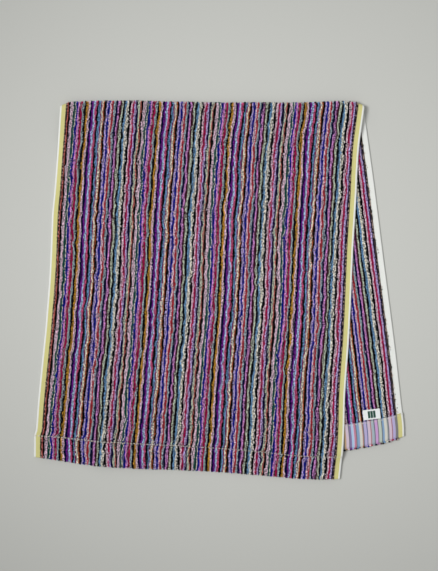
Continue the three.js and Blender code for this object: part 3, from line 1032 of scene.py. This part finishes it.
def tube_between(starts, stops, ups, width, sides=5):
    """Small closed stitches: a swollen middle ring between two tips, for each start and stop."""
    angle = np.arange(sides) / sides * 2 * math.pi
    way = stops - starts
    length = np.linalg.norm(way, axis=-1, keepdims=True)
    along = way / length
    right = np.cross(along, ups)
    right /= np.linalg.norm(right, axis=-1, keepdims=True)
    up = np.cross(right, along)
    rings = []
    width = np.broadcast_to(np.asarray(width, float), starts.shape[:1])[:, None]
    for share, size, lift in ((0.12, 0.75, 0.0), (0.5, 1.0, 0.18), (0.88, 0.75, 0.0)):
        middle = starts + way * share + up * lift * width
        ring = middle[:, None] + size * width[..., None] / 2 * (
            right[:, None] * np.cos(angle)[None, :, None] + up[:, None] * np.sin(angle)[None, :, None]
        )
        rings.append(ring)
    tips = [(tip - up * width * 0.4)[:, None] for tip in (starts, stops)]
    points = np.concatenate([*rings, *tips], 1)
    faces = []
    first, last = 3 * sides, 3 * sides + 1
    for side in range(sides):
        after = (side + 1) % sides
        faces.append((first, after, side))
        faces.append((last, 2 * sides + side, 2 * sides + after))
        for ring in range(2):
            a, b = ring * sides + side, ring * sides + after
            c, d = b + sides, a + sides
            faces += [(a, b, c), (a, c, d)]
    faces = np.array(faces)
    count = len(starts)
    faces = (faces[None] + np.arange(count)[:, None, None] * points.shape[1]).reshape(-1, 3)
    return points.reshape(-1, 3), faces


def make_stitches():
    """Hem stitches: cream flecks through the pile in front, and a seam on the under hem's flap."""
    settings = bpy.context.scene.towel_settings
    rng = np.random.default_rng(51)
    step, width = settings.stitch_length / MM, settings.thread_width / MM
    pieces = []
    material = thread_material()

    count = int(CLOTH_WIDTH / step)
    across = (np.arange(count) + 0.1) / count
    depth = hem_depth("front", across)
    front = Threads(front_edge(across), FRONT_SIDES, across)

    def on_front(across_at, threads, up):
        points = threads.at(up)
        wide = across_at[:, None]
        reverse = front_reverse(points, up, wide, threads.length[:, None])
        return at_height(points, reverse + pile_thickness(wide) - stitch_press(wide, up))[:, 0]

    starts = on_front(across, front, (depth - STITCH_INSET)[:, None])
    across_to = across + STITCH_SHARES["front"] / count
    threads_to = Threads(front_edge(across_to), FRONT_SIDES, across_to)
    stops = on_front(across_to, threads_to, (hem_depth("front", across_to) - STITCH_INSET)[:, None])
    # The pile closes over the stitches away from the left end
    from_side = np.minimum(across, 1 - across) * CLOTH_WIDTH
    proud = np.where(from_side < SELVEDGE_WIDTH, 0.4, 0.75 - 0.9 * ease(across, 0.1, 0.5))
    proud = proud + rng.uniform(-0.55, 0.35, count) * (from_side > SELVEDGE_WIDTH)
    widths = np.where(from_side < SELVEDGE_WIDTH, 1.9, 1.45 - 0.45 * ease(across, 0.1, 0.5)) * width
    up = np.tile([0.0, 0.0, 1.0], (count, 1))
    points, faces = tube_between(starts + up * proud[:, None], stops + up * proud[:, None], up, widths)
    pieces.append(add_piece("stitches_front_hem", points, faces, [material]))

    across_to = across + STITCH_SHARES["under"] / count
    ends = []
    for place in (across, across_to):
        threads = Threads(under_edge(place), UNDER_SIDES, place)
        points = threads.at((hem_depth("under", place) - STITCH_INSET)[:, None])
        height = pile_thickness(place) + PLY_GAP + HEM_THICK + 0.05
        ends.append(at_height(points[:, 0], height))
    right = front_right_edge(ends[0][:, 1])
    keep = ends[0][:, 0] > right - SEAM_MARGIN
    up = np.tile([0.0, 0.0, 1.0], (int(keep.sum()), 1))
    points, faces = tube_between(ends[0][keep], ends[1][keep], up, width * 0.8)
    pieces.append(add_piece("stitches_under_hem", points, faces, [material]))
    return pieces


LABEL = {"thick": 0.6, "turn": 6.7, "x": 170.4, "y": -137.6, "gap": 0.3}


def make_label():
    """The woven label: a thin ribbon, slightly bowed, sewn down along the hem's free edge."""
    settings = bpy.context.scene.towel_settings
    wide, deep = settings.label_width / MM, settings.label_depth / MM
    columns, rows = 40, 24
    u, v = np.meshgrid(np.linspace(0, 1, columns + 1), np.linspace(0, 1, rows + 1), indexing="ij")
    x, y = (u - 0.5) * wide, (v - 0.5) * deep
    height = PILE_THICK + LABEL["gap"] + LABEL["thick"] * 0.5
    wave = 0.25 * noise_field(61, x, y, 6, 4) + 0.35 * ease(v, 0.55, 1)
    angle = math.radians(LABEL["turn"])
    plan_x = LABEL["x"] + x * math.cos(angle) - y * math.sin(angle)
    plan_y = LABEL["y"] + x * math.sin(angle) + y * math.cos(angle)
    top = np.stack([plan_x, plan_y, height + wave + LABEL["thick"] / 2], -1)
    low = np.stack([plan_x, plan_y, height + wave - LABEL["thick"] / 2], -1)
    points = np.concatenate([top.reshape(-1, 3), low.reshape(-1, 3)])
    index = np.arange((columns + 1) * (rows + 1)).reshape(columns + 1, rows + 1)
    back = index + index.size
    quads = [
        np.stack([index[:-1, :-1], index[1:, :-1], index[1:, 1:], index[:-1, 1:]], -1).reshape(-1, 4),
        np.stack([back[:-1, :-1], back[:-1, 1:], back[1:, 1:], back[1:, :-1]], -1).reshape(-1, 4),
        np.stack([index[0, :-1], index[0, 1:], back[0, 1:], back[0, :-1]], -1),
        np.stack([index[-1, 1:], index[-1, :-1], back[-1, :-1], back[-1, 1:]], -1),
        np.stack([index[1:, 0], index[:-1, 0], back[:-1, 0], back[1:, 0]], -1),
        np.stack([index[:-1, -1], index[1:, -1], back[1:, -1], back[:-1, -1]], -1),
    ]
    uv = np.stack([u, v], -1).reshape(-1, 2)
    return add_piece(
        "label_ribbon", points, np.concatenate(quads), [label_material()], np.concatenate([uv, uv])
    )


# The stage


def make_stage():
    """A pale floor, a soft key lamp up to the left, an even room and a camera straight above."""
    settings = bpy.context.scene.towel_settings
    bpy.ops.mesh.primitive_plane_add(size=FLOOR_SIZE, location=(0, 0, -FLOOR_GAP))
    floor = bpy.context.object
    floor.name = "floor"
    material, tree = new_material("Matt Floor")
    finish_material(tree, (*settings.floor_grey, 1.0), 0.9)
    floor.data.materials.append(material)

    for row in LAMPS:
        data = bpy.data.lights.new(row["name"], "AREA")
        data.shape, data.energy = "RECTANGLE", row["power"]
        data.size, data.size_y = row["size"]
        data.spread = math.radians(row["spread"])
        lamp = bpy.data.objects.new(row["name"], data)
        lamp.location = row["place"]
        lamp.rotation_euler = (Vector(row["aim"]) - lamp.location).to_track_quat("-Z", "Y").to_euler()
        bpy.context.scene.collection.objects.link(lamp)

    world = bpy.data.worlds.new("Soft Room")
    world.use_nodes = True
    background = world.node_tree.nodes["Background"]
    background.inputs["Color"].default_value = (*ROOM_COLOUR, 1.0)
    background.inputs["Strength"].default_value = ROOM_STRENGTH
    bpy.context.scene.world = world
    bpy.context.scene.view_settings.view_transform = "Standard"

    camera = bpy.data.cameras.new("camera")
    camera.sensor_width, camera.lens = SENSOR, LENS
    camera.sensor_fit = "AUTO"
    holder = bpy.data.objects.new("camera", camera)
    distance = VIEW_HEIGHT * LENS / SENSOR
    centre = (np.array(VIEW_CENTRE) + SHIFT[:2]) * MM
    holder.location = (centre[0], centre[1], distance + VIEW_PLANE)
    camera.clip_end = 20
    bpy.context.scene.collection.objects.link(holder)
    bpy.context.scene.camera = holder


FLOOR_SIZE = 8.0
FLOOR_GAP = 0.0002
LAMPS = (
    {
        "name": "key", "place": (-0.8, 0.06, 1.5), "aim": (0.1, 0.06, 0.0), "power": 1.82,
        "size": (0.7, 0.7), "spread": 44.0,
    },
)
ROOM_COLOUR = (1.0, 1.0, 1.0)
ROOM_STRENGTH = 0.458
SENSOR = 36.0
LENS = 85.0
# The photograph is 571 pixels high at 1.115 mm for each
VIEW_HEIGHT = 571 * 1.115 * MM
# The height at which that scale holds
VIEW_PLANE = 4.0 * MM
# The plan's own point under the middle of the photograph, in millimetres
VIEW_CENTRE = (0.1, 6.2)


# Operators


class TOWEL_OT_cloth(bpy.types.Operator):
    """Add the towel's woven ground with its selvedges and turned hems"""

    bl_idname = "towel.cloth"
    bl_label = "Add Cloth"

    def execute(self, context):
        piece = make_cloth()
        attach(piece, "root")
        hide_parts("towel")
        return {"FINISHED"}


class TOWEL_OT_pile(bpy.types.Operator):
    """Add the loops of both piles where they show"""

    bl_idname = "towel.pile"
    bl_label = "Add Pile"

    def execute(self, context):
        for piece in make_pile():
            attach(piece, "root")
            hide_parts("towel")
        return {"FINISHED"}


class TOWEL_OT_stitches(bpy.types.Operator):
    """Add the stitches that hold both hems"""

    bl_idname = "towel.stitches"
    bl_label = "Add Stitches"

    def execute(self, context):
        for piece in make_stitches():
            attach(piece, "root")
            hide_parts("towel")
        return {"FINISHED"}


class TOWEL_OT_label(bpy.types.Operator):
    """Add the woven label at the under hem"""

    bl_idname = "towel.label"
    bl_label = "Add Label"

    def execute(self, context):
        piece = make_label()
        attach(piece, "root")
        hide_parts("label")
        return {"FINISHED"}


class TOWEL_OT_stage(bpy.types.Operator):
    """Add the floor, the lamp and the camera"""

    bl_idname = "towel.stage"
    bl_label = "Add Stage"

    def execute(self, context):
        make_stage()
        return {"FINISHED"}


class TOWEL_PT_panel(bpy.types.Panel):
    """Settings of the towel, and a button for each group of pieces"""

    bl_idname = "TOWEL_PT_panel"
    bl_label = "Folded Face Towel"
    bl_space_type = "VIEW_3D"
    bl_region_type = "UI"
    bl_category = "Towel"

    def draw(self, context):
        for group in (context.scene.towel_settings, context.scene.towel_yarns):
            for name in group.bl_rna.properties.keys():
                if name not in ("rna_type", "name"):
                    self.layout.prop(group, name)
        for operator in OPERATORS:
            self.layout.operator(operator.bl_idname)


OPERATORS = (TOWEL_OT_cloth, TOWEL_OT_pile, TOWEL_OT_stitches, TOWEL_OT_label, TOWEL_OT_stage)
CLASSES = (TowelYarns, TowelSettings, *OPERATORS, TOWEL_PT_panel)


def register():
    for cls in CLASSES:
        bpy.utils.register_class(cls)
    bpy.types.Scene.towel_settings = bpy.props.PointerProperty(type=TowelSettings)
    bpy.types.Scene.towel_yarns = bpy.props.PointerProperty(type=TowelYarns)


def unregister():
    del bpy.types.Scene.towel_yarns
    del bpy.types.Scene.towel_settings
    for cls in reversed(CLASSES):
        bpy.utils.unregister_class(cls)


def main():
    register()
    bpy.ops.object.select_all(action="DESELECT")
    bpy.ops.towel.cloth()
    bpy.ops.towel.pile()
    bpy.ops.towel.stitches()
    bpy.ops.towel.label()
    bpy.ops.towel.stage()


SHIFT = plan_shift()

if __name__ == "__main__":
    main()
